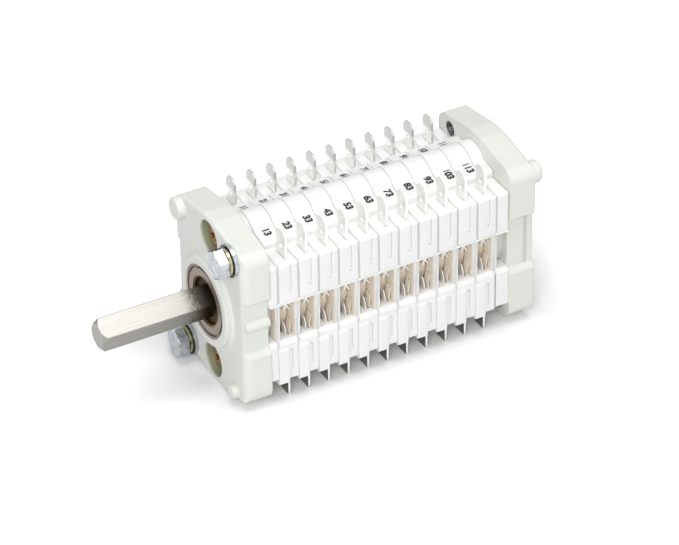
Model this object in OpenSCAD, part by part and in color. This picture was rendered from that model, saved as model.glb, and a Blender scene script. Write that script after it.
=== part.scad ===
// Rotary auxiliary switch: eleven contact decks clamped between two end plates.
// X runs along the drive shaft, from the outer face of the front plate towards the rear plate.
// Y runs across the switch and Z is up. The origin lies on the shaft axis, in the front face.

/* [Stack] */
// Length of one contact deck along the shaft
deck_pitch = 8; // [7.8:0.1:9]
// Thickness of each end plate
plate_t = 10.4; // [9.6:0.1:13]
// Thickness of the cover behind the front plate
front_cover_t = 3.6; // [3.4:0.1:6]
// Thickness of the cover ahead of the rear plate
rear_cover_t = 5.2; // [4:0.1:6]

/* [End plates] */
// Half width of an end plate
plate_half_w = 25.4; // [25.2:0.1:28]
// Half height of an end plate
plate_half_h = 34.6; // [34.2:0.1:38]
// Half width of the flat on the top and bottom edges
plate_flat_w = 3.6; // [2:0.1:8]
// Fall of the top and bottom edges towards the corners, in degrees
plate_slope = 9.6; // [6:0.1:12]
// Radius of the plate corners
plate_corner_r = 5; // [3:0.1:6]
// Rounding of the outer edge along the top and the bottom; half as much along the other side
plate_edge_r = 1.2; // [0.6:0.1:2]
// Rounding of the outer edge along the side with the rib
plate_side_r = 3.2; // [1.5:0.1:3.6]
// Depth of the recess in the middle of each side
side_recess = 2.1; // [0.8:0.1:2.1]
// Height of the top of the side recess
recess_top = 12; // [9:0.5:15]
// Depth of the bottom of the side recess below the axis
recess_bottom = 11.6; // [9:0.1:14]
// Half height of the rounded rib in the side recess
side_rib_r = 2.15; // [1:0.05:3]
// Height of the rib above the axis
side_rib_z = 1.55; // [-2:0.05:4]
// Width of the groove down the other side recess
side_groove_w = 1.1; // [0.6:0.1:2]
// Distance of that groove from the outer face
side_groove_x = 2.3; // [1.5:0.1:4]
// Depth of that groove
side_groove_d = 0.8; // [0.4:0.1:1.2]
// Radius of the ring that enters the cover
hub_r = 20; // [19.4:0.1:20.4]
// Length of that ring past the plate
hub_len = 3; // [2:0.1:3.2]

/* [Bearing] */
// Radius of the locating boss round the bearing
boss_r = 17.2; // [16:0.1:18]
// Height of the locating boss
boss_h = 2.8; // [2.2:0.1:4]
// Cove at the foot of the boss and rounding at its rim
boss_cove = 0.9; // [0.5:0.1:1]
// Outer radius of the bearing ring
bearing_r = 14; // [13:0.1:14.5]
// Radius of the bearing bore
bearing_bore_r = 9; // [8.6:0.1:9.6]
// Depth of the bearing seat below the front face
bearing_depth = 8; // [6:0.1:9]
// Distance of the bearing face below the rim of the boss
bearing_sink = 0.5; // [0.2:0.1:1]

/* [Locating features and recesses] */
// Radius of the round locating boss at the corner
corner_boss_r = 4.2; // [3.6:0.1:4.8]
// Height of the corner boss
corner_boss_h = 3; // [1:0.1:5]
// Distance of the corner boss from the centre plane
corner_boss_y = 21.2; // [20:0.1:21.4]
// Height of the corner boss above the axis
corner_boss_z = 26.8; // [26:0.1:28]
// Radius of the small locating pin
small_pin_r = 2.65; // [1.5:0.05:3]
// Height of the small pin
small_pin_h = 2.2; // [1:0.1:4]
// Distance of the small pin from the centre plane
small_pin_y = 17.3; // [15:0.1:18]
// Depth of the small pin below the axis
small_pin_z = 28.9; // [28:0.1:29.1]
// Radius of the recess round a tie screw head
tie_recess_r = 6.6; // [5.4:0.1:7]
// Depth of that recess
tie_recess_d = 6; // [5:0.1:7]

/* [Fasteners] */
// Distance of the fixing bolts from the centre plane
bolt_y = 17.2; // [16.4:0.1:17.6]
// Height of the fixing bolts above or below the axis
bolt_z = 27.2; // [26.6:0.1:27.4]
// Radius of the threaded holes in the end plates
thread_r = 3; // [2.6:0.05:3.2]
// Width across the flats of a bolt head
bolt_af = 10; // [9:0.1:11]
// Height of a bolt head
bolt_head_h = 4; // [3:0.1:5]
// Radius of the flat washer
flat_washer_r = 6; // [5.6:0.1:6.4]
// Thickness of the flat washer
flat_washer_t = 1.6; // [1:0.1:2]
// Radius of the split washer
split_washer_r = 5.2; // [4.6:0.1:5.5]
// Thickness of the split washer
split_washer_t = 1.6; // [1:0.1:2]
// Opening in the split washer
split_gap = 1; // [0.6:0.1:1.6]
// Radius of the tie screws
tie_r = 2.5; // [2:0.1:2.6]
// Height of the tie screws above or below the axis
tie_z = 26.3; // [25.9:0.1:26.7]
// Radius of a tie screw head
tie_head_r = 4.5; // [3.8:0.1:4.8]
// Height of a tie screw head
tie_head_h = 3; // [2.4:0.1:3.6]
// Width across the flats of a tie nut
tie_nut_af = 8; // [7.4:0.1:8.6]
// Height of a tie nut
tie_nut_h = 4; // [3:0.1:4.6]

/* [Deck housing] */
// Distance of the contact blocks' sides inside the sides of the plates
block_inset = 0.5; // [0.3:0.1:1]
// Height of the top of the contact blocks
block_top = 24; // [23.2:0.1:24.6]
// Chamfer along the outer edges of the blocks
block_chamfer = 0.6; // [0.3:0.1:1.2]
// Distance of the step between the ledge and the blocks from the centre plane
block_inner_y = 13.6; // [13.2:0.1:14.2]
// Width of the groove between neighbouring blocks
block_gap = 0.9; // [0.4:0.1:1.2]
// Depth of that groove at the sides; it is half as deep on top
block_gap_d = 1; // [0.5:0.1:1.2]
// Radius of the arch along the middle
arch_r = 8.7; // [8.2:0.1:9.4]
// Height of the centre of the arch
arch_z = 22.7; // [22.2:0.1:23.2]
// Height of the marking ledge at its inner side
ledge_z = 28; // [27.4:0.1:28.4]
// Fall of the marking ledge towards the blades
ledge_fall = 1.3; // [0.4:0.1:1.6]
// Chamfer at the outer edge of the ledge
ledge_step_w = 0.8; // [0.4:0.1:1.2]
// Width of the fine joint between neighbouring arches and ledges
joint_w = 0.4; // [0.2:0.1:0.6]
// Depth of that joint
joint_d = 0.25; // [0.1:0.05:0.4]
// Thickness of the wall between two drums
web_t = 1.2; // [1:0.1:1.4]
// Thickness of the front rim of a deck
rim_t = 0.8; // [0.6:0.1:1]
// Height of the top of the side windows
window_top = 7.8; // [7:0.1:9]
// Depth of the bottom of the side windows below the axis
window_bottom = 8.4; // [5:0.1:8.6]
// Depth of the foot of the sloping sill below the axis
sill_bottom = 9.9; // [9:0.1:11]
// Inward slope of the sill
sill_in = 1.2; // [0.6:0.1:1.6]
// Radius of the chamber that the moving contacts turn in
chamber_r = 20.9; // [20.8:0.1:21.4]
// Radius of the hole in the wall between two drums
web_bore_r = 10.8; // [10.6:0.1:11.6]
// Offset of the lower blocks towards the front
lower_shift = 0.6; // [0:0.1:0.7]
// Width of the stiffening rib on a lower block
low_rib_w = 4; // [2:0.1:4.2]
// Height of that rib above the lower block's side
low_rib_h = 0.5; // [0.3:0.1:0.6]
// Depth of the top of the rib below the axis
low_rib_top = 11.4; // [10.6:0.1:13]
// Depth of the bottom of the rib below the axis
low_rib_bottom = 26.7; // [26:0.1:28]
// Depth of the bottom of the lower blocks below the axis
low_block_bottom = 25.4; // [24.8:0.1:25.9]

/* [Fixed contacts] */
// Width of a connection blade
blade_w = 6.3; // [4.8:0.1:6.3]
// Thickness of a connection blade
blade_t = 0.8; // [0.5:0.1:1]
// Distance of the blades' centre line from the centre plane
blade_y = 18.8; // [18.4:0.1:18.9]
// Height of the blade tips above or below the axis
blade_tip = 34.4; // [32:0.1:36]
// Chamfer at the corners of an upper blade's tip
blade_chamfer = 1.5; // [0.8:0.1:2]
// Chamfer at the corners of a lower blade's tip
low_blade_chamfer = 0.4; // [0.2:0.1:2]
// Radius of the hole in a blade
blade_hole_r = 0.85; // [0.5:0.05:1]
// Distance of that hole from the tip
blade_hole_from_tip = 6.4; // [3:0.1:6.6]
// Distance of the blade plane from the front of its deck
blade_x = 4.8; // [4.4:0.1:5]
// Clearance of a contact strip in its slot
slot_clear = 0.08; // [0.05:0.01:0.15]
// Height at which a strip divides into two leaves
fork_z = 13.8; // [13.8:0.1:15]
// Distance of the leaves' inner edges from the centre plane
leaf_y = 18.8; // [18.7:0.1:18.9]
// Width of the contact leaves
leaf_w = 3; // [2.4:0.1:3.1]
// Thickness of a contact leaf
leaf_t = 0.35; // [0.25:0.05:0.45]
// Height at which the leaves start to flare
flare_z = 6.4; // [5:0.1:7]
// Height of the tips of the leaves
leaf_tip_z = 2.9; // [2:0.1:3.4]
// Sideways reach of the flare
flare_x = 0.75; // [0.5:0.05:0.8]

/* [Rotor] */
// Width across the flats of the square drive shaft
shaft_af = 9; // [8:0.1:9.4]
// Length of the shaft ahead of the front face
shaft_reach = 44.4; // [20:0.1:80]
// Chamfer at the free end of the shaft
shaft_chamfer = 1.5; // [0.5:0.1:2.5]
// Radius that breaks the edges of the shaft, from the axis
shaft_edge_r = 6.2; // [6.1:0.05:6.7]
// Turn of the shaft's flats from level, in degrees
shaft_turn = 26; // [0:1:45]
// Turn of the first moving contacts from level, half way along the travel
contact_turn = 45; // [43:1:47]
// Radius of a contact drum
drum_r = 18.4; // [17.6:0.1:18.5]
// Radius of the neck between two drums
neck_r = 10; // [9:0.1:10.2]
// Running gap at the end of a drum
drum_gap = 0.5; // [0.3:0.1:0.6]
// Radius of the moving contacts
bridge_r = 20.4; // [19.8:0.1:20.5]
// Thickness of the moving contacts
bridge_t = 0.6; // [0.4:0.1:0.8]
// Depth of a moving contact in its drum
bridge_root = 3.5; // [1.5:0.1:5]
// Angle that one moving contact covers
bridge_angle = 44; // [36:1:46]
// Clearance between a moving contact and a leaf
bridge_gap = 0.3; // [0.3:0.05:0.4]
// Running clearance of the hubs in the bearings
bearing_clear = 0.1; // [0.05:0.01:0.3]
// Distance of a hub's end below the bearing face
hub_sink = 1.6; // [0.6:0.1:3]
// Clearance of the square holes round the shaft
square_clear = 0.08; // [0.04:0.01:0.15]

/* [Hidden] */
$fn = 72;
eps = 0.01;
first_deck_x = plate_t + front_cover_t;
decks = 11;
rear_cover_x = first_deck_x + decks * deck_pitch;
rear_plate_x = rear_cover_x + rear_cover_t;
total_x = rear_plate_x + plate_t;
// The sloping edge as a line: its normal and its distance from the axis
slope_dist = plate_flat_w * sin(plate_slope) + plate_half_h * cos(plate_slope);
corner_y = plate_half_w - plate_corner_r;
corner_z = (slope_dist - plate_corner_r - corner_y * sin(plate_slope)) / cos(plate_slope);
corner_touch = [corner_y + plate_corner_r * sin(plate_slope), corner_z + plate_corner_r * cos(plate_slope)];
recess_y = plate_half_w - side_recess;
block_half_w = plate_half_w - block_inset;
sill_y = block_half_w - sill_in;
window_h = window_bottom + window_top - 0.4;
ledge_y = block_inner_y - ledge_step_w;
mark_z = 13.8;
low_mark_z = -13.2;
low_mark_h = 8.2;
ledge_in_y = sqrt(pow(arch_r, 2) - pow(ledge_z - arch_z, 2));
tie_clear = 0.25;
bolt_clear = 0.08;
bolt_face_r = bolt_af / 2 - 0.2;
hub_clear = 0.2;
cover_wall = 0.8;
leaf_x = bridge_t / 2 + bridge_gap;
drum_body = deck_pitch - web_t - 2 * drum_gap;
rotor_hub_r = bearing_bore_r - bearing_clear;
bearing_face_x = -boss_h + bearing_sink;
tie_positions = [[0, tie_z], [0, -tie_z]];
bolt_positions = [[-bolt_y, bolt_z], [bolt_y, -bolt_z]];
deck_names = [for (k = [1:decks]) str("deck_", k)];
contact_names = [for (k = [1:decks]) str("contacts_", k)];
drum_names = [for (k = [1:decks]) str("drum_", k)];
bridge_names = [for (k = [1:decks]) str("bridges_", k)];
other_names = [
    "front_plate",
    "rear_plate",
    "front_cover",
    "rear_cover",
    "front_bearing",
    "rear_bearing",
    "tie_screws",
    "tie_nuts",
    "hex_bolts",
    "split_washers",
    "flat_washers",
    "drive_shaft",
    "front_hub",
    "rear_hub"
];

// Gives a Y-Z outline its length along X
module slab(x0, x1) {
    translate([x0, 0, 0])
        rotate([90, 0, 90])
            linear_extrude(height = x1 - x0)
                children();
}

// Gives an X-Z outline its width along Y
module across(y0, y1) {
    translate([0, y1, 0])
        rotate([90, 0, 0])
            linear_extrude(height = y1 - y0)
                children();
}

// A round bar along X
module bar_x(x0, x1, r, y = 0, z = 0) {
    translate([x0, y, z])
        rotate([0, 90, 0])
            cylinder(r = r, h = x1 - x0);
}

// A ring about the shaft axis from a profile of radius and distance along X
module ring_x() {
    rotate([0, 90, 0])
        rotate_extrude()
            children();
}

// Copies a Y-Z outline to the other side of the centre plane
module both_sides() {
    children();
    mirror([1, 0])
        children();
}

// Copies a solid to the other side of the centre plane
module mirror_y() {
    children();
    mirror([0, 1, 0])
        children();
}

// Copies a solid above and below the axis
module mirror_z() {
    children();
    mirror([0, 0, 1])
        children();
}

// The outline of an end plate, with low roofs at the top and bottom
module plate_outline() {
    difference() {
        for (s = [1, -1])
            both_sides() {
                polygon([
                    [0, 0],
                    [0, s * plate_half_h],
                    [plate_flat_w, s * plate_half_h],
                    [corner_touch[0], s * corner_touch[1]],
                    [corner_y, s * corner_z],
                    [plate_half_w, s * corner_z],
                    [plate_half_w, 0]
                ]);
                translate([corner_y, s * corner_z])
                    circle(r = plate_corner_r);
            }
        both_sides()
            polygon([
                [recess_y, recess_top],
                [plate_half_w + 1, recess_top],
                [plate_half_w + 1, -recess_bottom - 1.25],
                [plate_half_w, -recess_bottom],
                [recess_y, -recess_bottom + 2]
            ]);
    }
}

// Cuts one outer edge of a plate to a quarter round; the edge lies at a distance from the axis
module edge_round(turn, dist, r) {
    rotate([turn, 0, 0])
        translate([0, 0, dist])
            across(-plate_half_h - 5, plate_half_h + 5)
                difference() {
                    translate([-1, -r])
                        square([r + 1, r + 1]);
                    translate([r, -r])
                        circle(r = r);
                }
}

// One end plate, as the front one lies; the rear one is the same moulding turned about
module end_plate() {
    difference() {
        union() {
            difference() {
                slab(0, plate_t)
                    plate_outline();
                for (turn = [0, 180])
                    edge_round(turn, plate_half_h, plate_edge_r);
                for (turn = [plate_slope, -plate_slope, 180 + plate_slope, 180 - plate_slope])
                    edge_round(turn, slope_dist, plate_edge_r);
                edge_round(90, plate_half_w, plate_side_r);
                edge_round(-90, plate_half_w, plate_edge_r / 2);
            }
            // Locating boss with a cove at its foot and a rounded rim
            ring_x()
                difference() {
                    translate([0, -boss_h])
                        square([boss_r + boss_cove, boss_h + eps]);
                    translate([boss_r, -boss_h - eps])
                        square([boss_cove + eps, boss_h - boss_cove + eps]);
                    translate([boss_r + boss_cove, -boss_cove])
                        circle(r = boss_cove);
                    polygon([
                        [boss_r - 0.6, -boss_h - eps],
                        [boss_r + eps, -boss_h - eps],
                        [boss_r + eps, -boss_h + 0.6]
                    ]);
                }
            // Ring that centres the cover and the decks
            bar_x(plate_t - 1, plate_t + hub_len, hub_r);
            // Round boss that runs through the corner
            bar_x(-corner_boss_h + 0.5, plate_t, corner_boss_r, corner_boss_y, corner_boss_z);
            translate([-corner_boss_h, corner_boss_y, corner_boss_z])
                rotate([0, 90, 0])
                    cylinder(r1 = corner_boss_r - 0.5, r2 = corner_boss_r, h = 0.5);
            // Small locating pin in the opposite corner
            bar_x(-small_pin_h + 0.3, 2, small_pin_r, -small_pin_y, -small_pin_z);
            translate([-small_pin_h, -small_pin_y, -small_pin_z])
                rotate([0, 90, 0])
                    cylinder(r1 = small_pin_r - 0.3, r2 = small_pin_r, h = 0.3);
            // Rounded rib along one side recess
            bar_x(side_rib_r / 2, plate_t, side_rib_r, side_rib_r - plate_half_w, side_rib_z);
        }
        // Bearing seat and the passage for the rotor
        bar_x(-boss_h - 1, bearing_depth, bearing_r);
        bar_x(bearing_depth - 1, plate_t + hub_len + 1, web_bore_r);
        for (p = tie_positions) {
            bar_x(-1, tie_recess_d, tie_recess_r, p[0], p[1]);
            bar_x(tie_recess_d - 1, plate_t + 1, tie_r + tie_clear, p[0], p[1]);
        }
        for (p = bolt_positions)
            bar_x(-1, plate_t + 1, thread_r, p[0], p[1]);
        // Groove down the other side recess
        translate([side_groove_x, recess_y - side_groove_d, 2 - recess_bottom])
            cube([side_groove_w, side_groove_d + 3, recess_top + recess_bottom - 2]);
    }
}

// Arch, marking ledges and the core between the blocks, above or below the axis
module core_outline(s, inset) {
    ledge_out_z = ledge_z - ledge_fall - inset;
    wall_y = block_inner_y - inset;
    polygon([
        [-wall_y, 0],
        [-wall_y, s * (ledge_out_z - ledge_step_w)],
        [-ledge_y + inset, s * ledge_out_z],
        [-ledge_in_y, s * (ledge_z - inset)],
        [ledge_in_y, s * (ledge_z - inset)],
        [ledge_y - inset, s * ledge_out_z],
        [wall_y, s * (ledge_out_z - ledge_step_w)],
        [wall_y, 0]
    ]);
    translate([0, s * arch_z])
        circle(r = arch_r - inset);
}

// The arch side of one housing, with a shallow joint at both ends
module core(x0, x1) {
    slab(x0, x1) {
        core_outline(1, joint_d);
        core_outline(-1, joint_d);
    }
    slab(x0 + joint_w / 2, x1 - joint_w / 2) {
        core_outline(1, 0);
        core_outline(-1, 0);
    }
}

// One pair of upper contact blocks, set in by a groove depth where asked
module upper_outline(inset) {
    both_sides()
        polygon([
            [block_inner_y - 1, 0],
            [block_inner_y - 1, block_top - inset / 2],
            [block_half_w - block_chamfer - inset, block_top - inset / 2],
            [block_half_w - inset, block_top - block_chamfer - inset / 2],
            [block_half_w - inset, window_top],
            [sill_y, window_top - 0.4],
            [sill_y, 0]
        ]);
}

// The sill under the windows and the lower contact blocks
module lower_outline(bottom, inset) {
    both_sides()
        polygon([
            [block_inner_y - 1, 0],
            [sill_y, 0],
            [sill_y, -window_bottom],
            [block_half_w - inset, -sill_bottom],
            [block_half_w - inset, -bottom + block_chamfer],
            [block_half_w - inset - block_chamfer, -bottom],
            [block_inner_y - 1, -bottom]
        ]);
}

// The stiffening rib on each lower block
module low_rib_outline() {
    both_sides()
        polygon([
            [block_inner_y, -low_rib_top],
            [block_half_w, -low_rib_top],
            [block_half_w + low_rib_h, -low_rib_top - 1],
            [block_half_w + low_rib_h, -low_rib_bottom + 0.6],
            [block_half_w + low_rib_h - 0.6, -low_rib_bottom],
            [block_inner_y, -low_rib_bottom]
        ]);
}

// Room for one fixed contact: a slot for the strip and a wider pocket for its leaves
module contact_room() {
    translate([blade_x - blade_t / 2 - slot_clear, blade_y - blade_w / 2 - slot_clear, fork_z - 1])
        cube([blade_t + 2 * slot_clear, blade_w + 2 * slot_clear, blade_tip - fork_z]);
    translate([blade_x - leaf_x - leaf_t - slot_clear, leaf_y - slot_clear, 0])
        cube([2 * (leaf_x + leaf_t + slot_clear), leaf_w + 2 * slot_clear, fork_z + 0.3]);
}

// Thin parting line down the side of a block, with a round mark past one end
module parting_mark(z0, z1, z_dot) {
    mirror_y() {
        translate([blade_x + 0.05, block_half_w - 0.3, z0])
            cube([0.3, 1, z1 - z0]);
        translate([blade_x - 0.3, block_half_w - 0.4, z_dot])
            rotate([-90, 0, 0])
                cylinder(r = 0.4, h = 1.4);
    }
}

// One deck housing, with its front at the given distance
module deck_housing(x) {
    lower_end = deck_pitch - lower_shift;
    color("#f4f5f6")
        translate([x, 0, 0])
            difference() {
                union() {
                    core(0, deck_pitch);
                    slab(0, deck_pitch)
                        upper_outline(block_gap_d);
                    slab(block_gap / 2, deck_pitch - block_gap / 2)
                        upper_outline(0);
                    slab(0, lower_end)
                        lower_outline(low_block_bottom, 0);
                    slab(-lower_shift, low_rib_w - lower_shift)
                        intersection() {
                            union() {
                                lower_outline(low_block_bottom, 0);
                                low_rib_outline();
                            }
                            both_sides()
                                translate([block_inner_y + 1, -50])
                                    square([50, 50 - sill_bottom]);
                        }
                }
                // Room at the rear for the offset of the next deck's lower blocks
                mirror_y()
                    translate([lower_end, block_inner_y + 1 - slot_clear, -50])
                        cube([10, 50, 50 - sill_bottom + slot_clear]);
                // Chamber for the drum, hole for its neck and holes for the tie screws
                bar_x(-1, deck_pitch - web_t, chamber_r);
                bar_x(0, deck_pitch + 1, web_bore_r);
                for (p = tie_positions)
                    bar_x(-1, deck_pitch + 1, tie_r + tie_clear, p[0], p[1]);
                // Side windows
                translate([rim_t, -plate_half_w - 5, -window_bottom])
                    cube([deck_pitch - web_t - rim_t, 2 * plate_half_w + 10, window_h]);
                mirror_y()
                    mirror_z()
                        contact_room();
                parting_mark(mark_z, block_top - block_chamfer, mark_z - 1);
                parting_mark(low_mark_z - low_mark_h, low_mark_z, low_mark_z + 0.4);
            }
}

// A cover that closes the stack at one end, round the ring of the end plate
module cover(x0, x1, lower_x1, window_x0, window_x1) {
    color("#f4f5f6")
        difference() {
            union() {
                core(x0, x1);
                slab(x0, x1)
                    upper_outline(block_gap_d);
                slab(x0 + block_gap / 2, x1 - block_gap / 2)
                    upper_outline(0.2);
                slab(x0, lower_x1)
                    lower_outline(low_block_bottom - 0.8, 0);
            }
            mirror_y()
                translate([lower_x1, block_inner_y + 1 - slot_clear, -50])
                    cube([10, 50, 50 - sill_bottom + slot_clear]);
            bar_x(x0 - 1, x1 + 1, hub_r + hub_clear);
            for (p = tie_positions)
                bar_x(x0 - 1, x1 + 1, tie_r + tie_clear, p[0], p[1]);
            translate([window_x0, -plate_half_w - 5, -window_bottom])
                cube([window_x1 - window_x0, 2 * plate_half_w + 10, window_h]);
        }
}

module front_cover() {
    cover(plate_t, first_deck_x, first_deck_x - lower_shift, plate_t - 1, first_deck_x - cover_wall);
}

module rear_cover() {
    cover(rear_cover_x, rear_plate_x, rear_plate_x, rear_cover_x + cover_wall, rear_plate_x + 1);
}

// One connection blade in the Y-Z plane, with its tip chamfered and a round hole
module blade_outline(chamfer) {
    half = blade_w / 2;
    difference() {
        polygon([
            [blade_y - half, fork_z],
            [blade_y - half, blade_tip - chamfer],
            [blade_y - half + chamfer, blade_tip],
            [blade_y + half - chamfer, blade_tip],
            [blade_y + half, blade_tip - chamfer],
            [blade_y + half, fork_z]
        ]);
        translate([blade_y, blade_tip - blade_hole_from_tip])
            circle(r = blade_hole_r);
    }
}

// Two spring leaves that straddle the moving contact and flare at their tips, seen along Y
module fork_outline() {
    polygon([
        [-blade_t / 2, fork_z + 0.2],
        [-leaf_x - leaf_t, fork_z],
        [-leaf_x - leaf_t, flare_z],
        [-leaf_x - leaf_t - flare_x, leaf_tip_z],
        [-leaf_x - flare_x, leaf_tip_z],
        [-leaf_x, flare_z],
        [-leaf_x, fork_z - leaf_t],
        [leaf_x, fork_z - leaf_t],
        [leaf_x, flare_z],
        [leaf_x + flare_x, leaf_tip_z],
        [leaf_x + leaf_t + flare_x, leaf_tip_z],
        [leaf_x + leaf_t, flare_z],
        [leaf_x + leaf_t, fork_z],
        [blade_t / 2, fork_z + 0.2]
    ]);
}

// One fixed contact: a blade with its strip and its leaves
module contact_strip(chamfer) {
    slab(-blade_t / 2, blade_t / 2)
        blade_outline(chamfer);
    across(leaf_y, leaf_y + leaf_w)
        fork_outline();
}

// The four fixed contacts of one deck
module fixed_contacts(x) {
    color("#cfd0cc")
        translate([x + blade_x, 0, 0])
            mirror_y() {
                contact_strip(blade_chamfer);
                mirror([0, 0, 1])
                    contact_strip(low_blade_chamfer);
            }
}

// Sector of a flat ring about the shaft, centred on the Y axis
module sector_outline(r0, r1, angle) {
    far = r1 / cos(angle / 2) + 1;
    intersection() {
        difference() {
            circle(r = r1);
            circle(r = r0);
        }
        polygon([
            [0, 0],
            [far * cos(angle / 2), -far * sin(angle / 2)],
            [far * cos(angle / 2), far * sin(angle / 2)]
        ]);
    }
}

// The pair of moving contacts on one drum, one on each side of the shaft
module bridge_pair(x, turn, thick) {
    translate([x + blade_x, 0, 0])
        rotate([turn, 0, 0])
            for (half = [0, 180])
                rotate([half, 0, 0])
                    slab(-thick / 2, thick / 2)
                        sector_outline(drum_r - bridge_root, bridge_r, bridge_angle);
}

// Every second deck carries its contacts a quarter turn further round
function bridge_turn(k) = contact_turn + 90 * (k % 2);

module bridges(k) {
    color("#c08a5a")
        bridge_pair(first_deck_x + k * deck_pitch, bridge_turn(k), bridge_t);
}

// Square hole for the shaft
module shaft_hole(x0, x1) {
    side = shaft_af + 2 * square_clear;
    rotate([shaft_turn, 0, 0])
        translate([x0, -side / 2, -side / 2])
            cube([x1 - x0, side, side]);
}

// One insulating drum; its neck passes the wall of the deck and meets the next drum
module drum(k) {
    x = first_deck_x + k * deck_pitch;
    color("#b9a896")
        difference() {
            union() {
                bar_x(x + drum_gap, x + drum_gap + drum_body, drum_r);
                bar_x(x + drum_gap, x + drum_gap + deck_pitch, neck_r);
            }
            shaft_hole(x - 1, x + 2 * deck_pitch);
            bridge_pair(x, bridge_turn(k), bridge_t);
        }
}

// A hub that carries the square shaft in a bearing
module rotor_hub(x0, x1) {
    color("#2e2b28")
        difference() {
            bar_x(x0, x1, rotor_hub_r);
            shaft_hole(x0 - 1, x1 + 1);
        }
}

module front_hub() {
    rotor_hub(bearing_face_x + hub_sink, first_deck_x + drum_gap);
}

module rear_hub() {
    rotor_hub(rear_cover_x + drum_gap, total_x - bearing_face_x - hub_sink);
}

// The square drive shaft, with its edges broken and its free end chamfered
module drive_shaft() {
    x0 = -shaft_reach;
    x1 = total_x - bearing_face_x - hub_sink;
    color("#c9c4ba")
        rotate([shaft_turn, 0, 0])
            intersection() {
                translate([x0, -shaft_af / 2, -shaft_af / 2])
                    cube([x1 - x0, shaft_af, shaft_af]);
                union() {
                    translate([x0, 0, 0])
                        rotate([0, 90, 0])
                            cylinder(r1 = shaft_edge_r - shaft_chamfer, r2 = shaft_edge_r, h = shaft_chamfer);
                    bar_x(x0 + shaft_chamfer, x1, shaft_edge_r);
                }
            }
}

// A bearing ring with a light outer race, a groove and a sunk face
module bearing() {
    color("#a89c90")
        ring_x()
            difference() {
                translate([bearing_bore_r, bearing_face_x])
                    square([bearing_r - bearing_bore_r, bearing_depth - bearing_face_x]);
                translate([bearing_r - 1.6, bearing_face_x - eps])
                    square([0.8, 0.8]);
                translate([bearing_bore_r - eps, bearing_face_x - eps])
                    square([0.6, 0.4]);
            }
}

module front_bearing() {
    bearing();
}

module rear_bearing() {
    translate([total_x, 0, 0])
        rotate([0, 0, 180])
            bearing();
}

module front_plate() {
    color("#d8dad4")
        end_plate();
}

module rear_plate() {
    color("#d8dad4")
        translate([total_x, 0, 0])
            rotate([0, 0, 180])
                end_plate();
}

// Tie screws with low heads and cross recesses
module tie_screws() {
    head_x = tie_recess_d - tie_head_h;
    end_x = total_x - tie_recess_d + tie_nut_h + 1;
    color("#a98a4e")
        for (p = tie_positions)
            translate([0, p[0], p[1]])
                difference() {
                    union() {
                        translate([head_x, 0, 0])
                            rotate([0, 90, 0])
                                cylinder(r1 = tie_head_r - 1, r2 = tie_head_r, h = 1);
                        bar_x(head_x + 1, tie_recess_d, tie_head_r);
                        bar_x(tie_recess_d - eps, end_x, tie_r);
                    }
                    for (turn = [0, 90])
                        rotate([turn + 20, 0, 0])
                            translate([head_x - 1, -2.2, -0.5])
                                cube([2.6, 4.4, 1]);
                }
}

module tie_nuts() {
    nut_x = total_x - tie_recess_d;
    color("#a98a4e")
        for (p = tie_positions)
            translate([nut_x, p[0], p[1]])
                rotate([0, 90, 0])
                    difference() {
                        cylinder(r = tie_nut_af / sqrt(3), h = tie_nut_h, $fn = 6);
                        translate([0, 0, -1])
                            cylinder(r = tie_r + bolt_clear, h = tie_nut_h + 2);
                    }
}

// Fixing bolts with their hexagon heads chamfered
module hex_bolts() {
    seat_x = -flat_washer_t - split_washer_t;
    corner_r = bolt_af / sqrt(3);
    color("#c8ced6")
        for (p = bolt_positions)
            translate([seat_x, p[0], p[1]]) {
                intersection() {
                    translate([-bolt_head_h, 0, 0])
                        rotate([0, 90, 0])
                            cylinder(r = corner_r, h = bolt_head_h, $fn = 6);
                    translate([-bolt_head_h, 0, 0])
                        rotate([0, 90, 0])
                            cylinder(r1 = bolt_face_r, r2 = bolt_face_r + 2 * bolt_head_h, h = bolt_head_h);
                }
                bar_x(-eps, plate_t - seat_x - 1, thread_r - bolt_clear);
            }
}

module split_washers() {
    color("#c9bd7c")
        for (p = bolt_positions)
            translate([-flat_washer_t - split_washer_t, p[0], p[1]])
                difference() {
                    bar_x(0, split_washer_t, split_washer_r);
                    bar_x(-1, split_washer_t + 1, thread_r + 0.1);
                    rotate([35, 0, 0])
                        translate([-1, 0, -split_gap / 2])
                            cube([split_washer_t + 2, 10, split_gap]);
                }
}

module flat_washers() {
    color("#ced3d8")
        for (p = bolt_positions)
            translate([-flat_washer_t, p[0], p[1]])
                difference() {
                    bar_x(0, flat_washer_t, flat_washer_r);
                    bar_x(-1, flat_washer_t + 1, thread_r + 0.2);
                }
}

front_plate();
rear_plate();
front_cover();
rear_cover();
front_bearing();
rear_bearing();
tie_screws();
tie_nuts();
hex_bolts();
split_washers();
flat_washers();
drive_shaft();
front_hub();
rear_hub();
for (k = [0:decks - 1]) {
    deck_housing(first_deck_x + k * deck_pitch);
    fixed_contacts(first_deck_x + k * deck_pitch);
    drum(k);
    bridges(k);
}
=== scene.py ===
import math

import bmesh
import bpy
from mathutils import Matrix, Vector


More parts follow.
